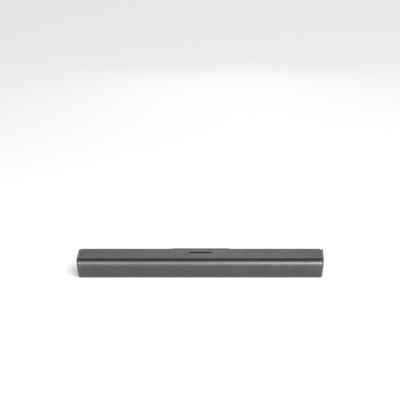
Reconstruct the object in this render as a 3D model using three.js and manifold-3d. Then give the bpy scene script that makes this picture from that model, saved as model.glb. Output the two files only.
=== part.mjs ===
import * as THREE from 'three';
import { LoftGeometry } from 'three/addons/geometries/LoftGeometry.js';
import { mergeVertices } from 'three/addons/utils/BufferGeometryUtils.js';
import Module from 'manifold-3d';

// A compact soundbar: a long cabinet with a perforated front grille, a control strip on top,
// a connector bay at the back, and four full-range drivers in two closed chambers.
// Millimetres. X runs along the bar, Y from the front to the back, Z up from the table.

const wasm = await Module();
wasm.setup();

// ---- driving dimensions ----

const barLength = 800;
const cabinetDepth = 106; // without the connector housing
const housingStandOut = 4.5; // how far the connector housing stands out at the back
const housingWidth = 184;
const topZ = 66;
const undersideZ = 1.2;
const wall = 2.5; // moulded wall
const seam = 0.3; // gap between pieces that meet
const capWidth = 9; // end cap, along X, at its widest
const capFillet = 4;
const cupDepth = 4; // how deep a cap is hollowed
const floorTuck = 7.3; // how far the cap's outer face draws in at the floor
const floorTuckFromZ = 62;
const floorTuckPower = 1.8;
const frontTuck = 1.6; // and how far at the front
const frontTuckFromY = 22;

// front section, from the top panel's front edge down to the bottom lip
const panelFrontY = 14.6;
const shoulderDepth = 14.3; // the grille's rounded shoulder, along Y
const noseZ = 47.5; // height of the foremost line
const lipZ = 6.8; // height of the seam above the bottom lip
const frontLean = 0.215; // how far the lower front runs back per millimetre down
const grilleSheet = 1;
const bendLength = 6; // the front turns from upright to its lean over this height
const bendBack = 0.35;

const controlWidth = 80;
const controlDepth = 12;
const controlTip = 6; // length of each pointed end
const controlY = 68.5;
const bezelMargin = 3; // the bezel reaches this far under the top panel
const bezelSheet = 1.4;
const bezelRim = 0.9; // wall that lines the opening
const buttonPitch = 13;
const buttonSize = [8.6, 5.2];
const buttonCorner = 2.2;
const buttonTravel = 0.6;
const buttonFlange = 1; // thickness of the foot that keeps a key in
const boardTopZ = 56; // the button board's upper face

const bayWidth = 168;
const bayLowZ = 14;
const bayHighZ = 52;
const jackFaceY = 88; // rear face of the jack panel
const jackSheet = 2;

const driverX = { left_outer: -325, left_inner: -205, right_inner: 205, right_outer: 325 };
const driverZ = 33.5;
const driverFlangeR = 26;
const baffleY = 16.2; // front face of the baffle
const baffleSheet = 3;
const eyeX = 24; // infrared eye, behind its hole in the baffle

const chamberWallX = 122;
const keyholeX = 300;
const keyholeZ = 44;
const keyholeSheet = 1.5; // steel plate let into the rear cover
const keyholeEntryR = 5.2;
const keyholeSlotR = 2.5;
const keyholeDrop = 6; // entry below and slot end above keyholeZ
const footX = 340;
const footY = [30, 88];
const footR = 8;
const footHeight = 1.7;
const baseScrewX = 255;
const baseScrewY = [34, 84];
const screwHeadR = 3.1;
const screwShankR = 1.2;

// ---- working values ----

const mainHalf = barLength / 2 - capWidth - seam; // half length of the shells between the caps
const floorTopZ = undersideZ + wall;
const ceilingZ = topZ - wall;
const baffleBackY = baffleY + baffleSheet + seam; // where pieces behind the baffle may begin
const rearY = cabinetDepth;
const housingY = cabinetDepth + housingStandOut;

// ---- colours and finishes ----

function finish(color, roughness, metalness) {
  return new THREE.MeshStandardMaterial({ color, roughness, metalness });
}

const finishes = {
  panel: finish('#4b4b4d', 0.55, 0),
  grille: finish('#5a5a5c', 0.45, 0.8),
  cap: finish('#636365', 0.4, 0.1),
  shell: finish('#2b2b2d', 0.6, 0),
  gloss: finish('#0e0e10', 0.15, 0),
  key: finish('#1a1a1c', 0.4, 0),
  rubber: finish('#161616', 0.9, 0),
  board: finish('#1f4a2c', 0.5, 0),
  steel: finish('#9a9ca0', 0.35, 1),
  blackSteel: finish('#202022', 0.5, 0.7),
  aluminium: finish('#b4b6ba', 0.35, 1),
  magnet: finish('#38383a', 0.7, 0.3),
  paper: finish('#1c1b1a', 0.85, 0),
  socket: finish('#131314', 0.45, 0),
  winding: finish('#c9a23a', 0.5, 0),
  sleeve: finish('#18243e', 0.35, 0),
  cable: finish('#111112', 0.6, 0),
  smoked: finish('#241414', 0.1, 0),
};

// ---- making solids ----

function cleaned(geometry) {
  const bare = new THREE.BufferGeometry();
  bare.setAttribute('position', geometry.getAttribute('position'));
  bare.setIndex(geometry.getIndex());
  const merged = mergeVertices(bare, 1e-4);
  const old = merged.index.array;
  const kept = [];
  for (let i = 0; i < old.length; i += 3) {
    const [a, b, c] = [old[i], old[i + 1], old[i + 2]];
    if (a !== b && b !== c && c !== a) kept.push(a, b, c);
  }
  merged.setIndex(kept);
  return merged;
}

function solidOf(geometry) {
  const closed = cleaned(geometry);
  const vertProperties = closed.attributes.position.array;
  const triVerts = new Uint32Array(closed.index.array);
  return new wasm.Manifold(new wasm.Mesh({ numProp: 3, vertProperties, triVerts }));
}

function geometryOf(solid) {
  const mesh = solid.getMesh();
  const geometry = new THREE.BufferGeometry();
  geometry.setAttribute('position', new THREE.BufferAttribute(mesh.vertProperties, 3));
  geometry.setIndex(new THREE.BufferAttribute(mesh.triVerts, 1));
  geometry.computeVertexNormals();
  return geometry;
}

function joined(first, ...others) {
  const solid = others.reduce((sum, other) => sum.add(solidOf(other)), solidOf(first));
  return geometryOf(solid);
}

function cut(first, ...others) {
  const solid = others.reduce((left, other) => left.subtract(solidOf(other)), solidOf(first));
  return geometryOf(solid);
}

// A box from its lowest to its highest corner.
function block([x0, y0, z0], [x1, y1, z1]) {
  const geometry = new THREE.BoxGeometry(x1 - x0, y1 - y0, z1 - z0);
  return geometry.translate((x0 + x1) / 2, (y0 + y1) / 2, (z0 + z1) / 2);
}

// A cylinder along Z.
function post(x, y, z0, z1, radius, sides = 16) {
  const geometry = new THREE.CylinderGeometry(radius, radius, z1 - z0, sides);
  return geometry.rotateX(Math.PI / 2).translate(x, y, (z0 + z1) / 2);
}

// A cylinder along Y.
function barrel(x, z, y0, y1, radius, sides = 16) {
  const geometry = new THREE.CylinderGeometry(radius, radius, y1 - y0, sides);
  return geometry.translate(x, (y0 + y1) / 2, z);
}

// An outline drawn in Y and Z, carried along X.
function alongX(outline, x0, x1, options = {}) {
  const geometry = new THREE.ExtrudeGeometry(outline, { depth: x1 - x0, bevelEnabled: false, ...options });
  const turn = new THREE.Matrix4().makeBasis(
    new THREE.Vector3(0, 1, 0),
    new THREE.Vector3(0, 0, 1),
    new THREE.Vector3(1, 0, 0),
  );
  return geometry.applyMatrix4(turn).translate(x0, 0, 0);
}

// An outline drawn in X and Y, carried up Z.
function alongZ(outline, z0, z1) {
  return new THREE.ExtrudeGeometry(outline, { depth: z1 - z0, bevelEnabled: false }).translate(0, 0, z0);
}

// An outline drawn in X and Z, carried along Y.
function alongY(outline, y0, y1) {
  const geometry = new THREE.ExtrudeGeometry(outline, { depth: y1 - y0, bevelEnabled: false });
  return geometry.rotateX(Math.PI / 2).translate(0, y1, 0);
}

// A turned piece: [radius, distance] pairs, first along the axis from low to high.
function turned(profile, sides) {
  const points = profile.map(([radius, distance]) => new THREE.Vector2(radius, distance));
  return new THREE.LatheGeometry(points, sides);
}

function shapeOf(points) {
  return new THREE.Shape(points.map(([a, b]) => new THREE.Vector2(a, b)));
}

// A rectangle with rounded corners, centred on a point.
function roundedRectangle(width, height, radius, x = 0, y = 0) {
  const [w, h] = [width / 2 - radius, height / 2 - radius];
  const shape = new THREE.Shape();
  shape.absarc(x + w, y + h, radius, 0, Math.PI / 2, false);
  shape.absarc(x - w, y + h, radius, Math.PI / 2, Math.PI, false);
  shape.absarc(x - w, y - h, radius, Math.PI, Math.PI * 1.5, false);
  shape.absarc(x + w, y - h, radius, Math.PI * 1.5, Math.PI * 2, false);
  return shape;
}

function roundedPrism(width, height, radius, x, y, z0, z1, steps = 3) {
  const shape = roundedRectangle(width, height, radius, x, y);
  const options = { depth: z1 - z0, bevelEnabled: false, curveSegments: steps };
  return new THREE.ExtrudeGeometry(shape, options).translate(0, 0, z0);
}

const cabinet = new THREE.Group();

function add(name, geometry, material) {
  const mesh = new THREE.Mesh(geometry, material);
  mesh.name = name;
  cabinet.add(mesh);
  return mesh;
}

// ---- the front curve ----

// Points of the front surface, moved inwards by inset: the shoulder from startAngle above level
// down to the foremost line, and then the leaning lower front to lowZ.
function frontCurve(inset, startAngle, lowZ, steps = 12) {
  const shoulderHeight = topZ - noseZ;
  const points = [];
  for (let i = 0; i <= steps; i++) {
    const angle = THREE.MathUtils.degToRad(startAngle) * (1 - i / steps);
    const y = shoulderDepth - (shoulderDepth - inset) * Math.cos(angle);
    points.push([y, noseZ + (shoulderHeight - inset) * Math.sin(angle)]);
  }
  const bendZ = noseZ - bendLength;
  points.push([inset + bendBack, bendZ]);
  points.push([inset + bendBack + (bendZ - lowZ) * frontLean, lowZ]);
  return points;
}

const lipY = frontCurve(0, 90, lipZ).at(-1)[0];

// ---- shells ----

function makeFrontGrille() {
  const outer = frontCurve(0, 88, lipZ + seam);
  const inner = frontCurve(grilleSheet, 88, lipZ + seam).reverse();
  return alongX(shapeOf([...outer, ...inner]), -mainHalf, mainHalf);
}

// The outline of the bar's end in Y and Z: down the front, under the floor and up the back.
function endOutline() {
  const rearRound = 3;
  return [
    ...frontCurve(0, 90, lipZ, 10),
    [lipY + 1.4, undersideZ + 1.6],
    [lipY + 3.2, undersideZ],
    [rearY - rearRound, undersideZ],
    [rearY, undersideZ + rearRound],
    [rearY, topZ - rearRound],
    [rearY - rearRound * 0.3, topZ - rearRound * 0.3],
    [rearY - rearRound, topZ],
  ];
}

// How far the cap's outer face lies inside its widest place: it curves in towards the floor and
// towards the front.
function capTuck(y, z) {
  const down = Math.max(0, (floorTuckFromZ - z) / (floorTuckFromZ - undersideZ));
  const forward = Math.max(0, 1 - y / frontTuckFromY);
  return floorTuck * down ** floorTuckPower + frontTuck * forward ** 2;
}

// A cap is a shallow cup: its outline draws in over the rounded outer edge and on across the bowed
// outer face, and it is open towards the cabinet.
function makeEndCap(side) {
  const [middleY, middleZ] = [rearY / 2, (topZ + undersideZ) / 2];
  const insideX = barLength / 2 - capWidth;
  const section = (inset, distance) => {
    const [shrinkY, shrinkZ] = [1 - inset / middleY, 1 - inset / (middleZ - undersideZ)];
    const ring = endOutline().map(([outlineY, outlineZ]) => {
      const y = middleY + (outlineY - middleY) * shrinkY;
      const z = middleZ + (outlineZ - middleZ) * shrinkZ;
      const x = insideX + distance * (1 - capTuck(y, z) / capWidth);
      return new THREE.Vector3(side * x, y, z);
    });
    return side > 0 ? ring : ring.reverse();
  };
  const sections = [section(0, 0)];
  for (let step = 0; step <= 3; step++) {
    const angle = (Math.PI / 2) * (step / 3);
    sections.push(section(capFillet * (1 - Math.cos(angle)), capWidth - capFillet * (1 - Math.sin(angle))));
  }
  for (const inset of [11, 18, 25]) sections.push(section(inset, capWidth));
  const whole = new LoftGeometry(sections, { capStart: true, capEnd: true });
  const ends = [side * (insideX - 1), side * (insideX + cupDepth)];
  const [lowY, highY, lowZ, highZ] = [20, rearY - 8, 28, topZ - 8];
  return cut(whole, block([Math.min(...ends), lowY, lowZ], [Math.max(...ends), highY, highZ]));
}

// A long flat six-sided outline, pointed at both ends, drawn in X and Y.
function controlOutline(inset) {
  const [w, d] = [controlWidth / 2 - inset * 1.4, controlDepth / 2 - inset];
  const tip = controlTip;
  return shapeOf([
    [-w, controlY],
    [-w + tip, controlY - d],
    [w - tip, controlY - d],
    [w, controlY],
    [w - tip, controlY + d],
    [-w + tip, controlY + d],
  ]);
}

// The flat top, with a tab over the connector housing and two stiffening ribs under it.
function makeTopPanel() {
  const [half, tab] = [mainHalf, housingWidth / 2];
  const outline = shapeOf([
    [-half, panelFrontY],
    [half, panelFrontY],
    [half, rearY],
    [tab, rearY],
    [tab, housingY],
    [-tab, housingY],
    [-tab, rearY],
    [-half, rearY],
  ]);
  const plate = alongZ(outline, ceilingZ, topZ);
  const ribs = [36, 92].map((y) => block([-half + 8, y, ceilingZ - 3], [half - 8, y + 1.6, ceilingZ + 1]));
  return cut(joined(plate, ...ribs), alongZ(controlOutline(0), ceilingZ - 1, topZ + 1));
}

// The floor of the cabinet, with the front lip, pockets for the feet and holes for the screws.
function makeBottomShell() {
  const lipFloor = undersideZ + 1;
  const outline = shapeOf([
    [lipY, lipZ - seam],
    [lipY + 1.6, lipFloor],
    [lipY + 2.6, undersideZ],
    [rearY - 0.5, undersideZ],
    [rearY - 0.5, floorTopZ],
    [lipY + 5.2, floorTopZ],
    [lipY + 4.2, lipZ - seam],
  ]);
  const tray = alongX(outline, -mainHalf, mainHalf);
  const pockets = footPlaces().map(([x, y]) => post(x, y, 0, undersideZ + 0.9, footR + seam, 16));
  const bosses = baseScrewPlaces().map(([x, y]) => post(x, y, floorTopZ - 1, floorTopZ + 7, 4, 12));
  const heads = baseScrewPlaces().map(([x, y]) => post(x, y, 0, undersideZ + 1.4, 3.6, 12));
  const threads = baseScrewPlaces().map(([x, y]) => post(x, y, 0, floorTopZ + 6.3, 1.5, 8));
  return cut(joined(tray, ...bosses), ...pockets, ...heads, ...threads);
}

function footPlaces() {
  return [-footX, footX].flatMap((x) => footY.map((y) => [x, y]));
}

function baseScrewPlaces() {
  return [-baseScrewX, baseScrewX].flatMap((x) => baseScrewY.map((y) => [x, y]));
}

// The back wall with the connector bay, a housing round it, and a pocket behind each keyhole plate.
function makeRearCover() {
  const [low, high] = [floorTopZ + seam, ceilingZ - seam];
  const sheet = block([-mainHalf, rearY - wall, low], [mainHalf, rearY, high]);
  const housing = block([-housingWidth / 2, rearY - 1, low + 4], [housingWidth / 2, housingY, high]);
  const bayWall = block(
    [-bayWidth / 2 - wall, jackFaceY + seam, bayLowZ - wall],
    [bayWidth / 2 + wall, rearY, bayHighZ + wall],
  );
  const bay = block([-bayWidth / 2, jackFaceY - 1, bayLowZ], [bayWidth / 2, housingY + 1, bayHighZ]);
  const cups = [-keyholeX, keyholeX].map((x) =>
    block([x - 14, rearY - 10, keyholeZ - 17], [x + 14, rearY - 1, keyholeZ + 13]));
  const hollows = [-keyholeX, keyholeX].map((x) =>
    block([x - 12, rearY - 8, keyholeZ - 15], [x + 12, rearY + 1, keyholeZ + 11]));
  const seats = [-keyholeX, keyholeX].map((x) =>
    block([x - 20, rearY - keyholeSheet, keyholeZ - 18], [x + 20, rearY + 1, keyholeZ + 14]));
  return cut(joined(sheet, housing, bayWall, ...cups), bay, ...hollows, ...seats);
}

// A steel plate with a round entry for a screw head and a slot above it for the shank.
function makeKeyholePlate(x) {
  const [y0, y1] = [rearY - keyholeSheet + seam, rearY];
  const [entryZ, slotEndZ] = [keyholeZ - keyholeDrop, keyholeZ + keyholeDrop];
  const plate = block([x - 19.7, y0, keyholeZ - 17.7], [x + 19.7, y1, keyholeZ + 13.7]);
  const entry = barrel(x, entryZ, y0 - 1, y1 + 1, keyholeEntryR, 24);
  const slot = block([x - keyholeSlotR, y0 - 1, entryZ], [x + keyholeSlotR, y1 + 1, slotEndZ]);
  const slotEnd = barrel(x, slotEndZ, y0 - 1, y1 + 1, keyholeSlotR, 20);
  return cut(plate, entry, slot, slotEnd);
}

function makeBaffle() {
  const face = block([-mainHalf + 4, baffleY, floorTopZ + seam], [mainHalf - 4, baffleY + baffleSheet, 60]);
  const holes = Object.values(driverX).map((x) =>
    barrel(x, driverZ, baffleY - 1, baffleY + baffleSheet + 1, 23.4, 24));
  const window = block([40, baffleY - 1, 24], [92, baffleY + baffleSheet + 1, 43]);
  const eye = barrel(eyeX, driverZ, baffleY - 1, baffleY + baffleSheet + 1, 4, 16);
  return cut(face, ...holes, window, eye);
}

function makeChamberWall(side) {
  const x = side * chamberWallX;
  const sheet = block(
    [x - 1.25, baffleBackY, floorTopZ + seam],
    [x + 1.25, rearY - wall - seam, ceilingZ - 3.4],
  );
  return cut(sheet, block([x - 2, 76, 50], [x + 2, 84, ceilingZ]));
}

function makeFoot() {
  const profile = [[0, 0], [footR - 0.6, 0], [footR, 0.6], [footR, footHeight], [0, footHeight]];
  return turned(profile, 16).rotateX(Math.PI / 2);
}

// A pan-head screw standing head down: the head is under the floor, the shank goes up.
function makeBaseScrew() {
  const [headZ, neckZ, tipZ] = [undersideZ - 0.9, undersideZ + 1.1, floorTopZ + 5.5];
  const profile = [
    [0, headZ],
    [screwHeadR, headZ],
    [screwHeadR, neckZ],
    [screwShankR, neckZ],
    [screwShankR, tipZ],
    [0, tipZ],
  ];
  return turned(profile, 12).rotateX(Math.PI / 2);
}

// ---- controls ----

const bezelTopZ = ceilingZ - seam; // the bezel lies under the top panel, so the strip is sunk
const bezelUnderZ = bezelTopZ - bezelSheet;
const buttonNames = ['power', 'source', 'volume_down', 'volume_up', 'play'];
const switchHeight = 2;

function buttonX(index) {
  return (index - (buttonNames.length - 1) / 2) * buttonPitch;
}

// A tray: its plate lies under the top panel, and its rim lines the opening.
function makeControlBezel() {
  const rim = cut(
    alongZ(controlOutline(seam), bezelUnderZ, topZ - seam),
    alongZ(controlOutline(seam + bezelRim), bezelUnderZ - 1, topZ),
  );
  const plate = joined(alongZ(controlOutline(-bezelMargin), bezelUnderZ, bezelTopZ), rim);
  const [w, d] = buttonSize.map((size) => size + 2 * seam);
  const holes = buttonNames.map((name, index) =>
    roundedPrism(w, d, buttonCorner + seam, buttonX(index), controlY, bezelUnderZ - 1, topZ));
  return cut(plate, ...holes);
}

// The key stands a little above the bezel, so that it is still proud when it is down. Its wide
// foot under the bezel keeps it in.
function makeButton(index) {
  const x = buttonX(index);
  const [w, d] = buttonSize;
  const keyTopZ = bezelTopZ + buttonTravel + 0.2;
  const [footTopZ, footLowZ] = [bezelUnderZ - seam, bezelUnderZ - seam - buttonFlange];
  const key = roundedPrism(w, d, buttonCorner, x, controlY, footLowZ - 0.5, keyTopZ, 4);
  const foot = block(
    [x - w / 2 - 0.9, controlY - d / 2 - 0.6, footLowZ],
    [x + w / 2 + 0.9, controlY + d / 2 + 0.6, footTopZ],
  );
  const stemLowZ = boardTopZ + switchHeight + buttonTravel + seam;
  return joined(key, foot, post(x, controlY, stemLowZ, footLowZ, 1.3, 10));
}

// The board under the keys, one small switch for each.
function makeButtonBoard() {
  const board = block([-38, controlY - 9, boardTopZ - 1.6], [38, controlY + 9, boardTopZ]);
  const switches = buttonNames.map((name, index) => {
    const x = buttonX(index);
    return block([x - 2.6, controlY - 2.6, boardTopZ - 0.5], [x + 2.6, controlY + 2.6, boardTopZ + 1.5]);
  });
  const domes = buttonNames.map((name, index) =>
    post(buttonX(index), controlY, boardTopZ + 1, boardTopZ + switchHeight, 1.1, 10));
  return joined(board, ...switches, ...domes);
}

// ---- drivers, each made about its own axis and then moved to its place ----

const flangeFrontY = baffleY - seam - 1.6;
const flangeBackY = baffleY - seam;
const magnetFrontY = 33;
const driverSides = 20;

function makeBasket() {
  const profile = [
    [17.2, flangeFrontY + 14.6],
    [22.9, flangeBackY + 1],
    [22.9, flangeBackY],
    [driverFlangeR, flangeBackY],
    [driverFlangeR, flangeFrontY],
    [21.9, flangeFrontY],
    [21.9, flangeFrontY + 2],
    [16, flangeFrontY + 15.4],
    [11, flangeFrontY + 15.8],
    [11, magnetFrontY - seam],
    [17.2, magnetFrontY - seam],
  ];
  const shell = turned([...profile, profile[0]].reverse(), driverSides);
  const windows = [0, 1, 2, 3].map((quarter) => {
    const opening = block([9, flangeBackY + 4.5, -8], [26, magnetFrontY - 4, 8]);
    return opening.rotateY(THREE.MathUtils.degToRad(45 + 90 * quarter));
  });
  return cut(shell, ...windows);
}

// The ring magnet with its pole piece, and the gap between them in which the voice coil moves.
function makeMagnet() {
  const profile = [
    [0, magnetFrontY + 14],
    [19, magnetFrontY + 14],
    [20, magnetFrontY + 13],
    [20, magnetFrontY + 1],
    [19, magnetFrontY],
    [10.2, magnetFrontY],
    [10.2, magnetFrontY + 10.5],
    [7.6, magnetFrontY + 10.5],
    [7.6, magnetFrontY],
    [0, magnetFrontY],
  ];
  return turned(profile.reverse(), driverSides);
}

// Paper cone, dust cap and voice coil tube in one moving piece.
function makeCone() {
  const profile = [
    [0, 21.4],
    [4.5, 21.9],
    [8.2, 23.5],
    [10, 25],
    [17.2, 15.4],
    [18, 15.4],
    [18, 16],
    [10.6, 26.4],
    [9.3, 27.6],
    [9.3, magnetFrontY + 7.2],
    [8.5, magnetFrontY + 7.2],
    [8.5, 24.9],
    [4.4, 22.9],
    [0, 22.4],
  ];
  return turned(profile, driverSides);
}

// The half-round rubber roll between the cone and the basket.
function makeSurround() {
  const [inner, outer] = [18.3, 21.6];
  const middle = (inner + outer) / 2;
  const arc = (radius, steps) => Array.from({ length: steps + 1 }, (_, i) => {
    const angle = Math.PI * (1 - i / steps);
    return [middle + radius * Math.cos(angle), 15.2 - radius * Math.sin(angle)];
  });
  const profile = [...arc((outer - inner) / 2, 5), ...arc((outer - inner) / 2 - 0.6, 4).reverse()];
  return turned([...profile, profile[0]], driverSides);
}

// ---- electronics ----

const mainBoardZ = 16; // middle of both boards
const halfBoard = 0.8;
const boardFaceZ = mainBoardZ + halfBoard;
const jackBackY = jackFaceY - jackSheet;
const socketLowZ = mainBoardZ + 1.2;
const socketLength = 15;
const socketDepth = 12;
const sockets = {
  hdmi_in: { x: -22, width: 17, height: 8, inner: [15, 5.6] },
  hdmi_arc: { x: 2, width: 17, height: 8, inner: [15, 5.6] },
  usb: { x: 25, width: 15, height: 8, inner: [12.6, 5.2] },
  optical: { x: 45, width: 12, height: 11, inner: [7.6, 7.6] },
};
const auxX = 63;
const auxZ = mainBoardZ + 7;
const auxCollarR = 3.6;
const inletX = -62;
const inletZ = 30;
const inletHalf = [12, 8];

// A socket is a box, closed at the front end and open at the back of the bar.
function makeSocket({ x, width, height, inner }) {
  const z = socketLowZ + height / 2;
  const [w, h] = inner;
  const outside = block(
    [x - width / 2, jackFaceY - socketLength, z - height / 2],
    [x + width / 2, jackFaceY, z + height / 2],
  );
  const inside = block(
    [x - w / 2, jackFaceY - socketDepth, z - h / 2],
    [x + w / 2, jackFaceY + 1, z + h / 2],
  );
  return cut(outside, inside);
}

function makeAuxSocket() {
  const housing = block([auxX - 5, jackFaceY - 14, auxZ - 5.5], [auxX + 5, jackBackY - seam, auxZ + 5.5]);
  const collar = barrel(auxX, auxZ, jackBackY - 1, jackFaceY, auxCollarR, 20);
  return cut(joined(housing, collar), barrel(auxX, auxZ, jackFaceY - socketDepth, jackFaceY + 1, 1.8, 16));
}

// A two-pole mains inlet: a rounded well with two contact pins standing in it.
function makeMainsInlet() {
  const [w, h] = inletHalf;
  const body = block([inletX - w, jackFaceY - 17, inletZ - h], [inletX + w, jackFaceY, inletZ + h]);
  const well = alongY(roundedRectangle(15.4, 8.6, 4.2, inletX, inletZ), jackFaceY - 13, jackFaceY + 1);
  const pins = [-4.3, 4.3].map((x) => barrel(inletX + x, inletZ, jackFaceY - 14, jackFaceY - 2, 1.2, 10));
  return joined(cut(body, well), ...pins);
}

function makeJackPanel() {
  const halfWidth = bayWidth / 2 + wall;
  const sheet = block([-halfWidth, jackBackY, bayLowZ - wall], [halfWidth, jackFaceY, bayHighZ + wall]);
  const holeFor = (x, z, halfW, halfH) => block(
    [x - halfW - seam, jackBackY - 1, z - halfH - seam],
    [x + halfW + seam, jackFaceY + 1, z + halfH + seam],
  );
  const holes = Object.values(sockets).map(({ x, width, height }) =>
    holeFor(x, socketLowZ + height / 2, width / 2, height / 2));
  const auxHole = barrel(auxX, auxZ, jackBackY - 1, jackFaceY + 1, auxCollarR + seam, 20);
  return cut(sheet, ...holes, auxHole, holeFor(inletX, inletZ, ...inletHalf));
}

// A circuit board with the blocks that stand on it and the legs that hold it off the floor.
function makeBoard([x0, x1], [y0, y1], blocks, legs) {
  const board = block([x0, y0, mainBoardZ - halfBoard], [x1, y1, boardFaceZ]);
  const standing = blocks.map(({ x, y, width, depth, height }) =>
    block([x - width / 2, y - depth / 2, mainBoardZ], [x + width / 2, y + depth / 2, boardFaceZ + height]));
  const posts = legs.map(([x, y]) => post(x, y, floorTopZ + seam, mainBoardZ, 2.5, 10));
  return joined(board, ...standing, ...posts);
}

function makeMainBoard() {
  const chips = [
    { x: -20, y: 40, width: 14, depth: 14, height: 1.6 },
    { x: 14, y: 44, width: 9, depth: 9, height: 1.4 },
    { x: 52, y: 66, width: 12, depth: 8, height: 1.4 },
    { x: 60, y: 36, width: 10, depth: 10, height: 9 },
  ];
  return makeBoard([-38, 78], [26, jackBackY - 0.6], chips, [[-32, 32], [72, 32], [-32, 78], [72, 78]]);
}

function makePowerBoard() {
  const chokes = [
    { x: -104, y: 34, width: 8, depth: 10, height: 9 },
    { x: -54, y: 60, width: 10, depth: 8, height: 7 },
    { x: -54, y: 44, width: 6, depth: 10, height: 12 },
  ];
  return makeBoard([-112, -44], [26, 68], chokes, [[-108, 62], [-48, 30], [-108, 30], [-48, 64]]);
}

function makeTransformer() {
  const [x, y, z] = [-88, 52, boardFaceZ + seam];
  const core = block([x - 12, y - 10, z], [x + 12, y + 10, z + 4]);
  const coil = block([x - 9, y - 7, z + 3], [x + 9, y + 7, z + 16]);
  const yoke = block([x - 12, y - 10, z + 15], [x + 12, y + 10, z + 19]);
  return joined(core, coil, yoke);
}

function makeHeatSink() {
  const [x0, y0, y1, z] = [-4, 34, 54, boardFaceZ + 1.4 + seam];
  const [finPitch, finSheet, finCount] = [5.8, 1.2, 7];
  const base = block([x0, y0, z], [x0 + (finCount - 1) * finPitch + finSheet, y1, z + 2]);
  const fins = Array.from({ length: finCount }, (_, i) =>
    block([x0 + i * finPitch, y0, z + 1], [x0 + i * finPitch + finSheet, y1, z + 16]));
  return joined(base, ...fins);
}

function makeWirelessModule() {
  const z = boardFaceZ + seam;
  const board = block([20, 57, z], [44, 71, z + 1]);
  return joined(board, block([22, 58.5, z + 0.5], [38, 69, z + 3]));
}

function makeDisplayModule() {
  const board = block([38, baffleBackY + 4, 22], [94, baffleBackY + 5.6, 45]);
  const screen = block([42, baffleY + 0.6, 25], [90, baffleBackY + 4.5, 42]);
  return joined(board, screen);
}

function makeInfraredReceiver() {
  const base = block([eyeX - 3.5, baffleBackY, driverZ - 4], [eyeX + 3.5, baffleBackY + 3.7, driverZ + 4]);
  const eye = barrel(eyeX, driverZ, baffleY + 0.5, baffleBackY + 0.7, 2.6, 14);
  return joined(base, eye);
}

// A wire of round section along a smooth curve through points.
function makeLead(points, radius, steps) {
  const section = new THREE.Shape().absarc(0, 0, radius, 0, Math.PI * 2, false);
  const extrudePath = new THREE.CatmullRomCurve3(points.map((point) => new THREE.Vector3(...point)));
  return new THREE.ExtrudeGeometry(section, { extrudePath, steps, curveSegments: 3 });
}

function speakerLeadRoute(side) {
  return [
    [side * 60, 58, 30],
    [side * 90, 72, 44],
    [side * 108, 80, 54],
    [side * 132, 80, 54],
    [side * 160, 76, 40],
    [side * 230, 70, 12],
    [side * 290, 66, 14],
    [side * 316, 60, 26],
  ];
}

// Flat ribbon from the main board up to the button board, drawn in Y and Z.
function makeRibbon() {
  const thick = 0.8;
  const route = [[62, 17.4], [62, 28], [66, 36], [72, 44], [72, 54]];
  const back = route.map(([y, z]) => [y + thick, z]).reverse();
  return alongX(shapeOf([...route, ...back]), -22, -10);
}

// ---- the whole bar ----

add('top_panel', makeTopPanel(), finishes.panel);
add('front_grille', makeFrontGrille(), finishes.grille);
add('end_cap_left', makeEndCap(-1), finishes.cap);
add('end_cap_right', makeEndCap(1), finishes.cap);
add('bottom_shell', makeBottomShell(), finishes.shell);
add('rear_cover', makeRearCover(), finishes.shell);
add('jack_panel', makeJackPanel(), finishes.socket);
add('front_baffle', makeBaffle(), finishes.shell);
add('chamber_wall_left', makeChamberWall(-1), finishes.shell);
add('chamber_wall_right', makeChamberWall(1), finishes.shell);
add('keyhole_plate_left', makeKeyholePlate(-keyholeX), finishes.steel);
add('keyhole_plate_right', makeKeyholePlate(keyholeX), finishes.steel);

const footNames = ['foot_front_left', 'foot_rear_left', 'foot_front_right', 'foot_rear_right'];
footPlaces().forEach(([x, y], index) => {
  add(footNames[index], makeFoot(), finishes.rubber).position.set(x, y, 0);
});
baseScrewPlaces().forEach(([x, y], index) => {
  const name = footNames[index].replace('foot', 'base_screw');
  add(name, makeBaseScrew(), finishes.blackSteel).position.set(x, y, 0);
});

add('control_bezel', makeControlBezel(), finishes.gloss);
buttonNames.forEach((name, index) => add(`button_${name}`, makeButton(index), finishes.key));
add('button_board', makeButtonBoard(), finishes.board);

for (const [place, x] of Object.entries(driverX)) {
  add(`basket_${place}`, makeBasket(), finishes.blackSteel).position.set(x, 0, driverZ);
  add(`magnet_${place}`, makeMagnet(), finishes.magnet).position.set(x, 0, driverZ);
  add(`surround_${place}`, makeSurround(), finishes.rubber).position.set(x, 0, driverZ);
  add(`cone_${place}`, makeCone(), finishes.paper).position.set(x, 0, driverZ);
}

add('main_board', makeMainBoard(), finishes.board);
add('power_board', makePowerBoard(), finishes.board);
add('transformer', makeTransformer(), finishes.winding);
add('mains_capacitor', post(-66, 36, boardFaceZ + seam, mainBoardZ + 30, 8, 20), finishes.sleeve);
add('amplifier_heat_sink', makeHeatSink(), finishes.aluminium);
add('wireless_module', makeWirelessModule(), finishes.steel);
add('display_module', makeDisplayModule(), finishes.smoked);
add('infrared_receiver', makeInfraredReceiver(), finishes.gloss);
for (const [name, socket] of Object.entries(sockets)) {
  add(`socket_${name}`, makeSocket(socket), finishes.socket);
}
add('socket_aux', makeAuxSocket(), finishes.socket);
add('mains_inlet', makeMainsInlet(), finishes.socket);
add('speaker_lead_left', makeLead(speakerLeadRoute(-1), 1.5, 26), finishes.cable);
add('speaker_lead_right', makeLead(speakerLeadRoute(1), 1.5, 26), finishes.cable);
add('button_ribbon', makeRibbon(), finishes.cable);

// The part's origin is under the middle of the whole bar, on the table.
cabinet.position.y = -housingY / 2;
const soundbar = new THREE.Group();
soundbar.add(cabinet);

export default soundbar;
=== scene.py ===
import bisect
import math
import bpy
from mathutils import Matrix, Vector, geometry


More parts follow.
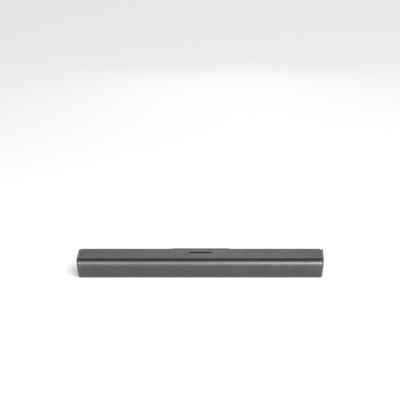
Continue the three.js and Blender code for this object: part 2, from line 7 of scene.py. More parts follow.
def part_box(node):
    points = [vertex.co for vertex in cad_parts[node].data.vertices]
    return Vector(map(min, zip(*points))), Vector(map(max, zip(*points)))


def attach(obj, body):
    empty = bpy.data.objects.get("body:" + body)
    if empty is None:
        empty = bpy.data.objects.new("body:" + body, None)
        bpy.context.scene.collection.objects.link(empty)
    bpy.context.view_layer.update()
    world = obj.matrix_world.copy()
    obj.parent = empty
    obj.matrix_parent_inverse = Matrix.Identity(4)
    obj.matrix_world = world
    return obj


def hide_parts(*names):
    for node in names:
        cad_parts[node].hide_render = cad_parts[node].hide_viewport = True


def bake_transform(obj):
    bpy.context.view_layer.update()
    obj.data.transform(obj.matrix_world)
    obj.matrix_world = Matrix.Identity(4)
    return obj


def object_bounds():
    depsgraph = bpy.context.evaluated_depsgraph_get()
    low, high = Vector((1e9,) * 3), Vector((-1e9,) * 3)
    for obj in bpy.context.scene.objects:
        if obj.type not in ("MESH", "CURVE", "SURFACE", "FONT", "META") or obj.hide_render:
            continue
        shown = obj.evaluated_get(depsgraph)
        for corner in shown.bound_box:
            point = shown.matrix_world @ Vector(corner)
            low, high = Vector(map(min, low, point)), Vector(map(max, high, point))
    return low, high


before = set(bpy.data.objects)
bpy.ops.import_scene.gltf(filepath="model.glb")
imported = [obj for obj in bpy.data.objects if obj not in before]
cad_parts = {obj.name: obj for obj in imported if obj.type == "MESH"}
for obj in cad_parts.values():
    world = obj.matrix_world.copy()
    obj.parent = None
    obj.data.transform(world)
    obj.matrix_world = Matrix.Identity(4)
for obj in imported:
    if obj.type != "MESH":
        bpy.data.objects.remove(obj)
cadLow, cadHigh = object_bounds()
mm = 0.001
print("frame loaded")


# small helpers for colours and shader nodes

def linear(hexColour, alpha=1.0):
    channels = [int(hexColour[i:i + 2], 16) / 255 for i in (1, 3, 5)]
    curve = [c / 12.92 if c <= 0.04045 else ((c + 0.055) / 1.055) ** 2.4 for c in channels]
    return (*curve, alpha)


def addNode(tree, kind, settings=None, links=None):
    node = tree.nodes.new(kind)
    for key, value in (settings or {}).items():
        if isinstance(key, int) or key in node.inputs:
            node.inputs[key].default_value = value
        else:
            setattr(node, key, value)
    for key, source in (links or {}).items():
        tree.links.new(source, node.inputs[key])
    return node


def newMaterial(name):
    material = bpy.data.materials.new(name)
    material.use_nodes = True
    tree = material.node_tree
    tree.nodes.clear()
    place = addNode(tree, "ShaderNodeTexCoord").outputs["Object"]
    return material, tree, place


def noise(tree, place, size, detail=2.0, stretch=(1, 1, 1), roughness=0.5):
    # size is the width of one blob in metres
    grain = addNode(tree, "ShaderNodeMapping", {"Scale": stretch}, {"Vector": place})
    return addNode(tree, "ShaderNodeTexNoise", {"Scale": 1 / size, "Detail": detail, "Roughness": roughness},
                   {"Vector": grain.outputs["Vector"]}).outputs["Fac"]


def ranged(tree, value, low, high, fromLow=0.3, fromHigh=0.7):
    return addNode(tree, "ShaderNodeMapRange",
                   {"From Min": fromLow, "From Max": fromHigh, "To Min": low, "To Max": high},
                   {"Value": value}).outputs["Result"]


def blended(tree, value, dark, light, darkAt=0.3, lightAt=0.7):
    ramp = addNode(tree, "ShaderNodeValToRGB", links={"Fac": value})
    ramp.color_ramp.elements[0].position = darkAt
    ramp.color_ramp.elements[0].color = linear(dark)
    ramp.color_ramp.elements[1].position = lightAt
    ramp.color_ramp.elements[1].color = linear(light)
    return ramp.outputs["Color"]


def bump(tree, height, depth, under=None, strength=1.0):
    links = {"Height": height}
    if under is not None:
        links["Normal"] = under
    return addNode(tree, "ShaderNodeBump", {"Distance": depth, "Strength": strength}, links).outputs["Normal"]


def finishMaterial(tree, settings, links):
    shader = addNode(tree, "ShaderNodeBsdfPrincipled", settings, links)
    addNode(tree, "ShaderNodeOutputMaterial", links={"Surface": shader.outputs["BSDF"]})


# one material for each real one, with pattern sizes in millimetres

def mouldedAbs(name, dark, light, grainSize, roughness, grainDepth=0.02 * mm, shine=0.5):
    # ABS from a spark-eroded mould: an even, dry grain that breaks the reflection into a soft sheen
    # the grain is drawn coarser than real so that it shows
    material, tree, place = newMaterial(name)
    grain = noise(tree, place, grainSize, 3)
    cloud = noise(tree, place, 45 * mm, 4)
    shade = addNode(tree, "ShaderNodeMath", {"operation": "MULTIPLY_ADD", 1: 0.35},
                    {0: grain, 2: ranged(tree, cloud, 0.1, 0.55)}).outputs["Value"]
    finishMaterial(tree, {"IOR": 1.5, "Specular IOR Level": shine}, {
        "Base Color": blended(tree, shade, dark, light, 0.2, 0.8),
        "Roughness": ranged(tree, cloud, roughness - 0.04, roughness + 0.05),
        "Normal": bump(tree, grain, grainDepth),
    })
    return material


def metallicPaint(name, dark, light, roughness, metallic, peelDepth=0.01 * mm):
    # steel or ABS sprayed with a fine metallic grey: tiny flakes and a faint orange peel
    # the flakes are drawn coarser than real so that they show
    material, tree, place = newMaterial(name)
    flakes = addNode(tree, "ShaderNodeTexVoronoi", {"Scale": 1 / (0.45 * mm)}, {"Vector": place})
    peel = noise(tree, place, 1.6 * mm, 2)
    cloud = noise(tree, place, 14 * mm, 3)
    sparkle = addNode(tree, "ShaderNodeMath", {"operation": "MULTIPLY_ADD", 1: 0.4},
                      {0: flakes.outputs["Distance"], 2: ranged(tree, cloud, 0.25, 0.45)}).outputs["Value"]
    finishMaterial(tree, {"Metallic": metallic, "IOR": 1.5}, {
        "Base Color": blended(tree, sparkle, dark, light, 0.25, 0.85),
        "Roughness": ranged(tree, cloud, roughness - 0.01, roughness + 0.02),
        "Normal": bump(tree, peel, peelDepth),
    })
    return material


def polishedAbs(name, dark, light, roughness):
    # high-gloss moulding: mirror-like, with faint wiping marks in the roughness only
    material, tree, place = newMaterial(name)
    wipe = noise(tree, place, 7 * mm, 5, stretch=(0.4, 1, 1))
    finishMaterial(tree, {"IOR": 1.5, "Coat Weight": 0.3, "Coat Roughness": 0.04}, {
        "Base Color": blended(tree, wipe, dark, light),
        "Roughness": ranged(tree, wipe, roughness, roughness + 0.1),
    })
    return material


def mouldedRubber(name, dark, light, grainSize):
    # nitrile or silicone: dead matt, with a dusting of talc-light specks
    material, tree, place = newMaterial(name)
    grain = noise(tree, place, grainSize, 4)
    dust = noise(tree, place, 4 * mm, 5)
    finishMaterial(tree, {"IOR": 1.5}, {
        "Base Color": blended(tree, dust, dark, light),
        "Roughness": ranged(tree, dust, 0.76, 0.9),
        "Normal": bump(tree, grain, 0.04 * mm),
    })
    return material


def platedSteel(name, dark, light, roughness, stretch):
    # rolled sheet with a thin plating: fine drawn lines run one way and streak the highlight
    material, tree, place = newMaterial(name)
    lines = noise(tree, place, 0.5 * mm, 3, stretch=stretch)
    cloud = noise(tree, place, 9 * mm, 4)
    finishMaterial(tree, {"Metallic": 1.0}, {
        "Base Color": blended(tree, cloud, dark, light),
        "Roughness": ranged(tree, lines, roughness - 0.07, roughness + 0.1),
        "Normal": bump(tree, lines, 0.012 * mm),
    })
    return material


def solderMask(name):
    # green lacquer over copper: traces show as slightly raised, lighter lines
    material, tree, place = newMaterial(name)
    flat = addNode(tree, "ShaderNodeMapping", {"Scale": (1, 1, 0)}, {"Vector": place}).outputs["Vector"]
    tracks = addNode(tree, "ShaderNodeTexBrick",
                     {"Scale": 1.0, "Brick Width": 5.2 * mm, "Row Height": 1.3 * mm, "Mortar Size": 0.22 * mm,
                      "Mortar Smooth": 0.1, "Color1": (0, 0, 0, 1), "Color2": (0.15, 0.15, 0.15, 1),
                      "Mortar": (1, 1, 1, 1)}, {"Vector": flat})
    weave = noise(tree, place, 0.7 * mm, 2)
    finishMaterial(tree, {"IOR": 1.5}, {
        "Base Color": blended(tree, tracks.outputs["Color"], "#123a22", "#2c6a3e", 0.1, 0.9),
        "Roughness": ranged(tree, weave, 0.3, 0.42),
        "Normal": bump(tree, tracks.outputs["Color"], 0.03 * mm),
    })
    return material


def pressedPulp(name):
    # paper pulp, pressed and dyed black: a felt of short fibres with almost no shine
    material, tree, place = newMaterial(name)
    fibre = noise(tree, place, 0.6 * mm, 6, stretch=(1, 0.3, 1), roughness=0.7)
    finishMaterial(tree, {"IOR": 1.45}, {
        "Base Color": blended(tree, fibre, "#121212", "#292929"),
        "Roughness": ranged(tree, fibre, 0.78, 0.95),
        "Normal": bump(tree, fibre, 0.06 * mm),
    })
    return material


def woundTape(name):
    # polyester tape round a coil: glossy amber, with the wire's ridges pressing through
    material, tree, place = newMaterial(name)
    ridgeRadian, radiansPerUnit = 1.1 * mm, 20  # so a ridge repeats every 6.9 mm, coarser than real
    turns = addNode(tree, "ShaderNodeTexWave",
                    {"Scale": 1 / (radiansPerUnit * ridgeRadian), "Distortion": 0.6, "bands_direction": "Z"},
                    {"Vector": place})
    finishMaterial(tree, {"IOR": 1.5}, {
        "Base Color": blended(tree, turns.outputs["Fac"], "#9c7426", "#d2a742"),
        "Roughness": ranged(tree, turns.outputs["Fac"], 0.28, 0.4, 0, 1),
        "Normal": bump(tree, turns.outputs["Fac"], 0.06 * mm),
    })
    return material


panelAbs = mouldedAbs("panelAbsFineGrain", "#2f2f2f", "#383838", 0.9 * mm, 0.5)
shellAbs = mouldedAbs("shellAbsCoarseGrain", "#1e1e1e", "#272727", 1.3 * mm, 0.6, 0.05 * mm)
baseAbs = mouldedAbs("baseAbsGrain", "#303030", "#393939", 1.1 * mm, 0.5)
jackAbs = mouldedAbs("jackPanelAbsGrain", "#121212", "#1a1a1a", 0.9 * mm, 0.55)
socketPbt = mouldedAbs("socketGlassFilledPbt", "#0d0d0d", "#161616", 0.5 * mm, 0.45, 0.01 * mm)
keyAbs = mouldedAbs("keyAbsSatin", "#0d0d0d", "#141414", 0.6 * mm, 0.42, 0.008 * mm, 0.2)
grillePaint = metallicPaint("grilleSteelMetallicPaint", "#5b5b5b", "#6b6b6b", 0.36, 0.92)
capPaint = metallicPaint("capAbsMetallicPaint", "#474747", "#535353", 0.38, 0.6)
trayAbs = mouldedAbs("trayAbsSatinBlack", "#040404", "#090909", 0.6 * mm, 0.45, 0.006 * mm, 0.12)
lensSmoked = polishedAbs("lensPolycarbonateSmoked", "#120808", "#1c0d0c", 0.06)
sleevePvc = polishedAbs("capacitorPvcSleeve", "#101a33", "#1a2748", 0.22)
leadPvc = polishedAbs("leadPvcJacket", "#0c0c0c", "#151515", 0.4)
footRubber = mouldedRubber("footRubberMoulded", "#0f0f0f", "#1d1d1d", 0.5 * mm)
rollRubber = mouldedRubber("surroundRubberMoulded", "#0c0c0c", "#161616", 0.8 * mm)
zincSteel = platedSteel("plateSteelZinc", "#a3a5a8", "#c4c4c4", 0.34, (0.12, 1, 1))
blackSteel = platedSteel("basketSteelBlackCoat", "#181818", "#242424", 0.5, (1, 0.3, 1))
finAluminium = platedSteel("heatSinkAluminiumExtruded", "#bbbbbb", "#cfd0d2", 0.36, (1, 0.1, 1))
ferrite = platedSteel("magnetFerriteGround", "#2f2f2f", "#3e3e3e", 0.62, (1, 1, 1))
contactGold = platedSteel("contactBrassGilt", "#b08a3c", "#d0a850", 0.28, (1, 0.3, 1))
greenBoard = solderMask("boardSolderMask")
conePulp = pressedPulp("conePaperPulp")
coilTape = woundTape("transformerPolyesterTape")
keyInk = mouldedAbs("keyPadPrintedInk", "#4d4d4d", "#595959", 0.8 * mm, 0.5)
print("materials made")


# ways to make a piece: turned, lofted, or an outline carried along an axis

def dressed(piece, material, body="cabinet", stands=()):
    piece.data.materials.clear()
    piece.data.materials.append(material)
    if stands:
        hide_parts(*stands)
    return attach(piece, body)


def newPiece(name, points, faces, sharpAngle=32):
    mesh = bpy.data.meshes.new(name)
    mesh.from_pydata(points, [], faces)
    mesh.validate()
    mesh.shade_smooth()
    mesh.set_sharp_from_angle(angle=math.radians(sharpAngle))
    piece = bpy.data.objects.new(name, mesh)
    bpy.context.scene.collection.objects.link(piece)
    weighting = piece.modifiers.new("flatFacesStayFlat", "WEIGHTED_NORMAL")  # beside rounded edges
    weighting.keep_sharp = True
    return piece


def turnedPiece(name, profile, centre, axis, sides=48):
    # profile: (radius, distance along the axis) pairs, with their first and last on the axis or alike
    closed = profile[0] == profile[-1]
    rows = profile[:-1] if closed else profile
    points, ringStart, faces = [], [], []
    for radius, distance in rows:
        ringStart.append(len(points))
        for k in range(sides if radius > 0 else 1):
            turn = 2 * math.pi * k / sides
            across, up = radius * math.cos(turn), radius * math.sin(turn)
            spot = {"Z": (across, up, distance), "Y": (up, distance, across)}[axis]
            points.append(Vector(spot) + Vector(centre))
    pairs = list(zip(range(len(rows)), range(1, len(rows))))
    if closed:
        pairs.append((len(rows) - 1, 0))
    for a, b in pairs:
        for k in range(sides):
            n = (k + 1) % sides
            lower = [ringStart[a] + k, ringStart[a] + n] if rows[a][0] > 0 else [ringStart[a]]
            upper = [ringStart[b] + n, ringStart[b] + k] if rows[b][0] > 0 else [ringStart[b]]
            if len(lower) + len(upper) > 2:
                faces.append(lower + upper)
    return newPiece(name, points, faces)


def loftedPiece(name, rings, sharpAngle=32):
    # rings of equal length, each counterclockwise seen from the last ring
    count = len(rings[0])
    points = [point for ring in rings for point in ring]
    faces = [list(reversed(range(count))), list(range(len(points) - count, len(points)))]
    for level in range(len(rings) - 1):
        for k in range(count):
            n = (k + 1) % count
            a, b = level * count, (level + 1) * count
            faces.append([a + k, a + n, b + n, b + k])
    return newPiece(name, points, faces, sharpAngle)


def movedIn(loop, distance):
    # moves a loop towards the material, which lies on the left of its travel
    moved = []
    for before, here, after in zip(loop[-1:] + loop[:-1], loop, loop[1:] + loop[:1]):
        first, second = (here - before).normalized(), (after - here).normalized()
        normals = [Vector((-d.y, d.x)) for d in (first, second)]
        middle = (normals[0] + normals[1]).normalized()
        moved.append(here + middle * (distance / max(middle.dot(normals[0]), 0.4)))
    return moved


def roundedSlab(name, outline, low, high, edge, axis="Z", holes=(), steps=3, sharpAngle=32):
    # an outline with holes, carried along an axis, with its long edges rounded
    loops = [[Vector(p) for p in wound(outline, True)]]
    loops += [[Vector(p) for p in wound(hole, False)] for hole in holes]
    spots = {"Z": lambda a, b, c: (a, b, c), "Y": lambda a, b, c: (a, c, b), "X": lambda a, b, c: (c, a, b)}
    quarter = [math.pi / 2 * k / steps for k in range(steps + 1)]
    levels = [(edge * (1 - math.sin(t)), low + edge * (1 - math.cos(t))) for t in quarter]
    levels += [(edge * (1 - math.sin(t)), high - edge * (1 - math.cos(t))) for t in reversed(quarter)]
    points, faces, starts = [], [], []
    for inset, height in levels:
        starts.append(len(points))
        for loop in loops:
            points += [spots[axis](p.x, p.y, height) for p in movedIn(loop, inset)]
    offset = 0
    for loop in loops:
        for a, b in zip(starts, starts[1:]):
            for k in range(len(loop)):
                n = (k + 1) % len(loop)
                faces.append([a + offset + k, a + offset + n, b + offset + n, b + offset + k])
        offset += len(loop)
    flat = [[Vector((p.x, p.y, 0)) for p in movedIn(loop, edge)] for loop in loops]
    corners = [p for loop in flat for p in loop]
    for triangle in geometry.tessellate_polygon(flat):
        a, b, c = (corners[i] for i in triangle)
        facingUp = (b - a).cross(c - a).z > 0
        up = list(triangle) if facingUp else list(reversed(triangle))
        faces.append([starts[-1] + i for i in up])
        faces.append([starts[0] + i for i in reversed(up)])
    if axis == "Y":  # this axis turns the drawing over
        faces = [list(reversed(face)) for face in faces]
    return newPiece(name, points, faces, sharpAngle)


def wound(loop, counterclockwise):
    area = sum(a[0] * b[1] - b[0] * a[1] for a, b in zip(loop, loop[1:] + loop[:1]))
    return loop if (area > 0) == counterclockwise else loop[::-1]


def arc(x, y, radius, start, end, steps):
    turns = [math.radians(start + (end - start) * k / steps) for k in range(steps + 1)]
    return [(x + radius * math.cos(t), y + radius * math.sin(t)) for t in turns]


def roundedBox(x, y, width, height, radius, steps=6):
    w, h = width / 2 - radius, height / 2 - radius
    corners = [(w, h, 0), (-w, h, 90), (-w, -h, 180), (w, -h, 270)]
    return [p for a, b, turn in corners for p in arc(x + a, y + b, radius, turn, turn + 90, steps)]


# the grille and both end caps share this curve, drawn from the top panel down to the lip

frontShape = {
    "shoulderDepth": 14.3 * mm,  # from the foremost line back to the top panel
    "noseHeight": 47.5 * mm,  # height of the foremost line
    "lipHeight": 6.8 * mm,
    "turnLength": 6 * mm,  # the front goes from upright to its lean over this
    "turnBack": 0.35 * mm,
    "lean": 0.215,
}
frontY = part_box("front_grille")[0].y
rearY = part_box("end_cap_right")[1].y
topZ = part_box("top_panel")[1].z
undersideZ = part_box("end_cap_right")[0].z
capSeam = 0.25 * mm  # so that the seams to the end caps show as fine dark lines
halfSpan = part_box("front_grille")[1].x - capSeam


def frontCurve(inset, startAngle, lowZ, steps=24):
    depth, nose = frontShape["shoulderDepth"], frontShape["noseHeight"]
    line = []
    for k in range(steps + 1):
        angle = math.radians(startAngle) * (1 - k / steps)
        line.append((frontY + depth - (depth - inset) * math.cos(angle),
                     nose + (topZ - nose - inset) * math.sin(angle)))
    turnEnd = nose - frontShape["turnLength"]
    for k in range(1, 7):  # a parabola that is upright at the nose and leans at its end
        share = k / 6
        line.append((frontY + inset + frontShape["turnBack"] * share ** 2,
                     nose - frontShape["turnLength"] * share))
    back = frontY + inset + frontShape["turnBack"] + (turnEnd - lowZ) * frontShape["lean"]
    return line + [(back, lowZ)]


class Strip:
    # a line in Y and Z that can be asked for a place and its inward direction at any length
    def __init__(self, line):
        self.points = [Vector(p) for p in line]
        self.lengths = [0.0]
        for a, b in zip(self.points, self.points[1:]):
            self.lengths.append(self.lengths[-1] + (b - a).length)
        self.total = self.lengths[-1]
        ways = [(b - a).normalized() for a, b in zip(self.points, self.points[1:])]
        self.ways = [ways[0]] + [(a + b).normalized() for a, b in zip(ways, ways[1:])] + [ways[-1]]

    def at(self, length, depth=0.0):
        k = min(max(bisect.bisect_right(self.lengths, length) - 1, 0), len(self.points) - 2)
        share = (length - self.lengths[k]) / (self.lengths[k + 1] - self.lengths[k])
        spot = self.points[k].lerp(self.points[k + 1], share)
        way = self.ways[k].lerp(self.ways[k + 1], share).normalized()
        return spot + Vector((-way.y, way.x)) * depth


# the front sheet, with real holes cut through it

grille = {
    "pitch": 5.0 * mm,  # real sheet of this kind is nearer 2 mm: drawn coarser so that it shows
    "hole": 3.3 * mm,
    "sheet": 0.9 * mm,
    "sideMargin": 3.2 * mm,
    "endMargin": 1.8 * mm,
}


def makeGrille():
    strip = Strip(frontCurve(0, 88, frontShape["lipHeight"] + 0.3 * mm, 48))
    usedWidth = 2 * (halfSpan - grille["sideMargin"])
    columns = round(usedWidth / grille["pitch"])
    half = usedWidth / columns / 2
    usedLength = strip.total - 2 * grille["endMargin"]
    rows = round(usedLength / (grille["pitch"] * math.sqrt(3) / 2))
    height = usedLength / rows
    left = -halfSpan + grille["sideMargin"]
    points, known = [], {}

    def corner(side, x, length):
        key = (side, round(x * 1e7), round(length * 1e7))
        if key not in known:
            spot = strip.at(length, grille["sheet"] * side)
            known[key] = len(points)
            points.append((x, spot.x, spot.y))
        return known[key]

    def column(i):
        return left + i * half

    def row(j):
        return grille["endMargin"] + j * height

    faces = []

    def panel(spots):
        # one face on the outside and its twin on the inside
        faces.append([corner(0, *spot) for spot in spots])
        faces.append([corner(1, *spot) for spot in reversed(spots)])

    def holeCell(i, j):
        x, s = column(i + 1), row(j + 0.5)
        ring = [(column(i), row(j)), (column(i), row(j + 0.5)), (column(i), row(j + 1)), (x, row(j + 1)),
                (column(i + 2), row(j + 1)), (column(i + 2), row(j + 0.5)), (column(i + 2), row(j)),
                (x, row(j))]
        radius = grille["hole"] / 2
        inner = []
        for a, b in ring:
            turn = round(math.atan2(b - s, a - x) / (math.pi / 4)) * math.pi / 4
            inner.append((x + radius * math.cos(turn), s + radius * math.sin(turn)))
        for k in range(8):
            n = (k + 1) % 8
            panel([ring[k], ring[n], inner[n], inner[k]])
            faces.append([corner(0, *inner[k]), corner(0, *inner[n]),
                          corner(1, *inner[n]), corner(1, *inner[k])])

    for j in range(rows):
        first = j % 2
        for i in range(first, 2 * columns - 1, 2):
            holeCell(i, j)
        if first:
            panel([(column(0), row(j)), (column(0), row(j + 1)), (column(1), row(j + 1)),
                   (column(1), row(j + 0.5)), (column(1), row(j))])
            last = 2 * columns
            panel([(column(last - 1), row(j)), (column(last - 1), row(j + 0.5)),
                   (column(last - 1), row(j + 1)), (column(last), row(j + 1)), (column(last), row(j))])
        for outer, inner in ((-halfSpan, column(0)), (halfSpan, column(2 * columns))):
            spots = [(outer, row(j)), (outer, row(j + 1)), (inner, row(j + 1))]
            spots += [] if first else [(inner, row(j + 0.5))]
            spots += [(inner, row(j))]
            panel(spots if outer < 0 else spots[::-1])
    across = [-halfSpan] + [column(i) for i in range(2 * columns + 1)] + [halfSpan]
    for near, far in ((0, row(0)), (row(rows), strip.total)):
        for a, b in zip(across, across[1:]):
            panel([(a, near), (a, far), (b, far), (b, near)])
    down = [0] + [row(j) for j in range(rows + 1)] + [strip.total]
    for x, run in ((-halfSpan, down[::-1]), (halfSpan, down)):
        for a, b in zip(run, run[1:]):
            faces.append([corner(0, x, a), corner(0, x, b), corner(1, x, b), corner(1, x, a)])
    for s, run in ((0, across), (strip.total, across[::-1])):
        for a, b in zip(run, run[1:]):
            faces.append([corner(0, a, s), corner(0, b, s), corner(1, b, s), corner(1, a, s)])
    return newPiece("frontGrillePerforated", points, faces, 40)


dressed(makeGrille(), grillePaint, stands=["front_grille"])
print("grille made")


# a shallow cup at each end

endCap = {
    "rim": 3.4 * mm,
    "fillet": 4.2 * mm,
    "wall": 2.2 * mm,
    "rearCorner": 4 * mm,
    "floorTuck": 7.3 * mm,  # the outer face draws in this far at the floor
    "floorTuckFrom": 62 * mm,
    "floorTuckPower": 1.8,
    "frontTuck": 1.6 * mm,  # and this far at the front
    "frontTuckDepth": 22 * mm,
}


def endOutline():
    lipY = frontCurve(0, 90, frontShape["lipHeight"])[-1][0]
    corner = endCap["rearCorner"]
    under = [(lipY + 0.5 * mm, undersideZ + 3.2 * mm), (lipY + 1.3 * mm, undersideZ + 1.4 * mm),
             (lipY + 2.4 * mm, undersideZ + 0.4 * mm), (lipY + 4 * mm, undersideZ)]
    rear = arc(rearY - corner, undersideZ + corner, corner, -90, 0, 8)
    rear += arc(rearY - corner, topZ - corner, corner, 0, 90, 8)
    return frontCurve(0, 90, frontShape["lipHeight"]) + under + rear


def capTuck(y, z):
    down = max(0, (endCap["floorTuckFrom"] - z) / (endCap["floorTuckFrom"] - undersideZ))
    forward = max(0, 1 - (y - frontY) / endCap["frontTuckDepth"])
    return endCap["floorTuck"] * down ** endCap["floorTuckPower"] + endCap["frontTuck"] * forward ** 2


def makeEndCap(side):
    # a shallow cup with a bowed outer face
    name = "end_cap_right" if side > 0 else "end_cap_left"
    low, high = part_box(name)
    inside, outside = sorted((abs(low.x), abs(high.x)))
    width = outside - inside
    outline = [Vector(p) for p in endOutline()]
    middle = Vector(((frontY + rearY) / 2, (undersideZ + topZ) / 2))
    reach = Vector(((rearY - frontY) / 2, (topZ - undersideZ) / 2))

    def ring(inset, distance):
        loop = []
        for p in outline:
            y = middle.x + (p.x - middle.x) * (1 - inset / reach.x)
            z = middle.y + (p.y - middle.y) * (1 - inset / reach.y)
            loop.append((side * (inside + distance * (1 - capTuck(y, z) / width)), y, z))
        return loop if side > 0 else loop[::-1]

    wall, rim, fillet = endCap["wall"], endCap["rim"], endCap["fillet"]
    rings = [ring(wall, rim), ring(wall, 0), ring(0.5 * mm, 0), ring(0, 0.5 * mm)]
    for k in range(10):
        turn = math.pi / 2 * k / 9
        rings.append(ring(fillet * (1 - math.cos(turn)), width - fillet * (1 - math.sin(turn))))
    for share in (0.85, 0.7, 0.55, 0.4, 0.25, 0.1):
        rings.append(ring(fillet + (reach.y - fillet) * (1 - share), width))
    return loftedPiece("endCapLeft" if side < 0 else "endCapRight", rings, 50)


for side, node in ((-1, "end_cap_left"), (1, "end_cap_right")):
    dressed(makeEndCap(side), capPaint, stands=[node])
print("end caps made")


# the top moulding, the sunk tray and its keys

topPanel = {"sheet": 2.5 * mm, "edge": 0.7 * mm, "tabWidth": 184 * mm, "tabCorner": 1.5 * mm}
# a sunk tray: its plate lies under the panel, and its rim lines the opening
controls = {"width": 80 * mm, "depth": 12 * mm, "tip": 6 * mm, "edge": 0.25 * mm, "gap": 0.3 * mm,
            "margin": 3 * mm, "sheet": 1.4 * mm, "rim": 0.9 * mm}
keyFace = {"width": 8.6 * mm, "depth": 5.2 * mm, "corner": 2.2 * mm, "edge": 0.45 * mm, "mark": 2.3 * mm}
controlY = sum((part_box("control_bezel")[k].y for k in (0, 1))) / 2
keyNames = ["power", "source", "volume_down", "volume_up", "play"]


def controlOutline(inset):
    w, d, tip = controls["width"] / 2 - inset * 1.4, controls["depth"] / 2 - inset, controls["tip"]
    return [(-w, controlY), (-w + tip, controlY - d), (w - tip, controlY - d),
            (w, controlY), (w - tip, controlY + d), (-w + tip, controlY + d)]


def makeTopPanel():
    low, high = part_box("top_panel")
    tab = topPanel["tabWidth"] / 2
    back = rearY
    outline = [(-halfSpan, low.y), (halfSpan, low.y), (halfSpan, back), (tab + topPanel["tabCorner"], back)]
    outline += [(tab, back + topPanel["tabCorner"]), (tab, high.y), (-tab, high.y)]
    outline += [(-tab, back + topPanel["tabCorner"]), (-tab - topPanel["tabCorner"], back), (-halfSpan, back)]
    return roundedSlab("topPanelMoulded", outline, topZ - topPanel["sheet"], topZ, topPanel["edge"],
                       holes=[controlOutline(0)])


def keyCentre(name):
    low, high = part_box("button_" + name)
    return (low.x + high.x) / 2


def makeBezel():
    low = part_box("control_bezel")[0]
    gap = controls["gap"]
    holes = [roundedBox(keyCentre(name), controlY, keyFace["width"] + 2 * gap, keyFace["depth"] + 2 * gap,
                        keyFace["corner"] + gap) for name in keyNames]
    return roundedSlab("controlTrayPlate", controlOutline(-controls["margin"]), low.z,
                       low.z + controls["sheet"], controls["edge"], holes=holes)


def makeTrayRim():
    low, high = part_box("control_bezel")
    gap = controls["gap"]
    return roundedSlab("controlTrayRim", controlOutline(gap), low.z + controls["sheet"], high.z,
                       controls["edge"], holes=[controlOutline(gap + controls["rim"])])


def makeKey(name):
    # a key, the wide flange that keeps it in, and the stem that meets its switch
    low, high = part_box("button_" + name)
    x, edge = keyCentre(name), keyFace["edge"]
    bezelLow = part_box("control_bezel")[0].z
    flangeTop, flangeLow = bezelLow - 0.3 * mm, bezelLow - 1.3 * mm

    def ring(width, depth, corner, z):
        return [(a, b, z) for a, b in roundedBox(x, controlY, width, depth, corner)]

    w, d, r = keyFace["width"], keyFace["depth"], keyFace["corner"]
    stem, chamfer, flangeWidth, flangeDepth = 2.6 * mm, 0.2 * mm, high.x - low.x, 6.4 * mm
    rings = [ring(stem - chamfer, stem - chamfer, (stem - chamfer) / 2, low.z),
             ring(stem, stem, stem / 2, low.z + 0.3 * mm), ring(stem, stem, stem / 2, flangeLow),
             ring(flangeWidth, flangeDepth, 0.6 * mm, flangeLow),
             ring(flangeWidth, flangeDepth, 0.6 * mm, flangeTop), ring(w, d, r, flangeTop)]
    for k in range(5):
        turn = math.pi / 2 * k / 4
        draw = 2 * edge * (1 - math.cos(turn))
        rings.append(ring(w - draw, d - draw, r - draw / 2, high.z - edge * (1 - math.sin(turn))))
    rings.append(ring(w * 0.6, d * 0.5, d * 0.2, high.z - 0.12 * mm))  # a shallow dish for the fingertip
    return loftedPiece("key_" + name, rings, 40)


def crossOutline(arm, half):
    # a plus sign with arms of this reach and half width
    return [(-arm, -half), (-half, -half), (-half, -arm), (half, -arm), (half, -half), (arm, -half),
            (arm, half), (half, half), (half, arm), (-half, arm), (-half, half), (-arm, half)]


def keyMark(name):
    # plain pictograms, printed: a ring with a bar, an open box, a minus, a plus, a triangle
    x, size = keyCentre(name), keyFace["mark"]
    line, radius = size * 0.12, size * 0.42
    ring = (arc(x, controlY, radius, 122, 418, 24) + arc(x, controlY, radius - line, 418, 122, 24), [])

    def bar(w, h, y=0.0):
        return [(x - w, controlY + y - h), (x + w, controlY + y - h),
                (x + w, controlY + y + h), (x - w, controlY + y + h)]

    a, b = size * 0.4, line / 2
    return {
        "power": [ring, (bar(b, size * 0.2, size * 0.34), [])],
        "source": [(bar(a, size * 0.32), [bar(a - line, size * 0.32 - line)])],
        "volume_down": [(bar(a, b), [])],
        "volume_up": [([(x + p, controlY + q) for p, q in crossOutline(a, b)], [])],
        "play": [([(x - a * 0.8, controlY - a), (x + a, controlY), (x - a * 0.8, controlY + a)], [])],
    }[name]


dressed(makeTopPanel(), panelAbs, stands=["top_panel"])
dressed(makeBezel(), trayAbs, stands=["control_bezel"])
dressed(makeTrayRim(), trayAbs)
for name in keyNames:
    body = "button_" + name
    dressed(makeKey(name), keyAbs, body, [body])
    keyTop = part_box(body)[1].z
    for number, (outline, holes) in enumerate(keyMark(name)):
        mark = roundedSlab(f"keyMark_{name}_{number}", outline, keyTop - 0.1 * mm, keyTop + 0.03 * mm,
                           0.01 * mm, holes=holes, steps=1)
        dressed(mark, keyInk, body)
print("top panel and keys made")


# nodes whose shape is right already: they get a finish and small mould radii

def eased(node, material, width=0.4 * mm, segments=2, angle=28):
    # the node keeps its mesh: flat faces are joined and every edge gets the small radius of its mould
    piece = bpy.data.objects[node]
    for holder in piece.material_slots:
        holder.material = material
    if width:
        joining = piece.modifiers.new("flatFaces", "DECIMATE")
        joining.decimate_type = "DISSOLVE"
        joining.angle_limit = math.radians(1)
        rounding = piece.modifiers.new("mouldRadius", "BEVEL")
        rounding.width = width
        rounding.segments = segments
        rounding.limit_method = "ANGLE"
        rounding.angle_limit = math.radians(angle)
        piece.modifiers.new("flatFacesStayFlat", "WEIGHTED_NORMAL")
    return piece


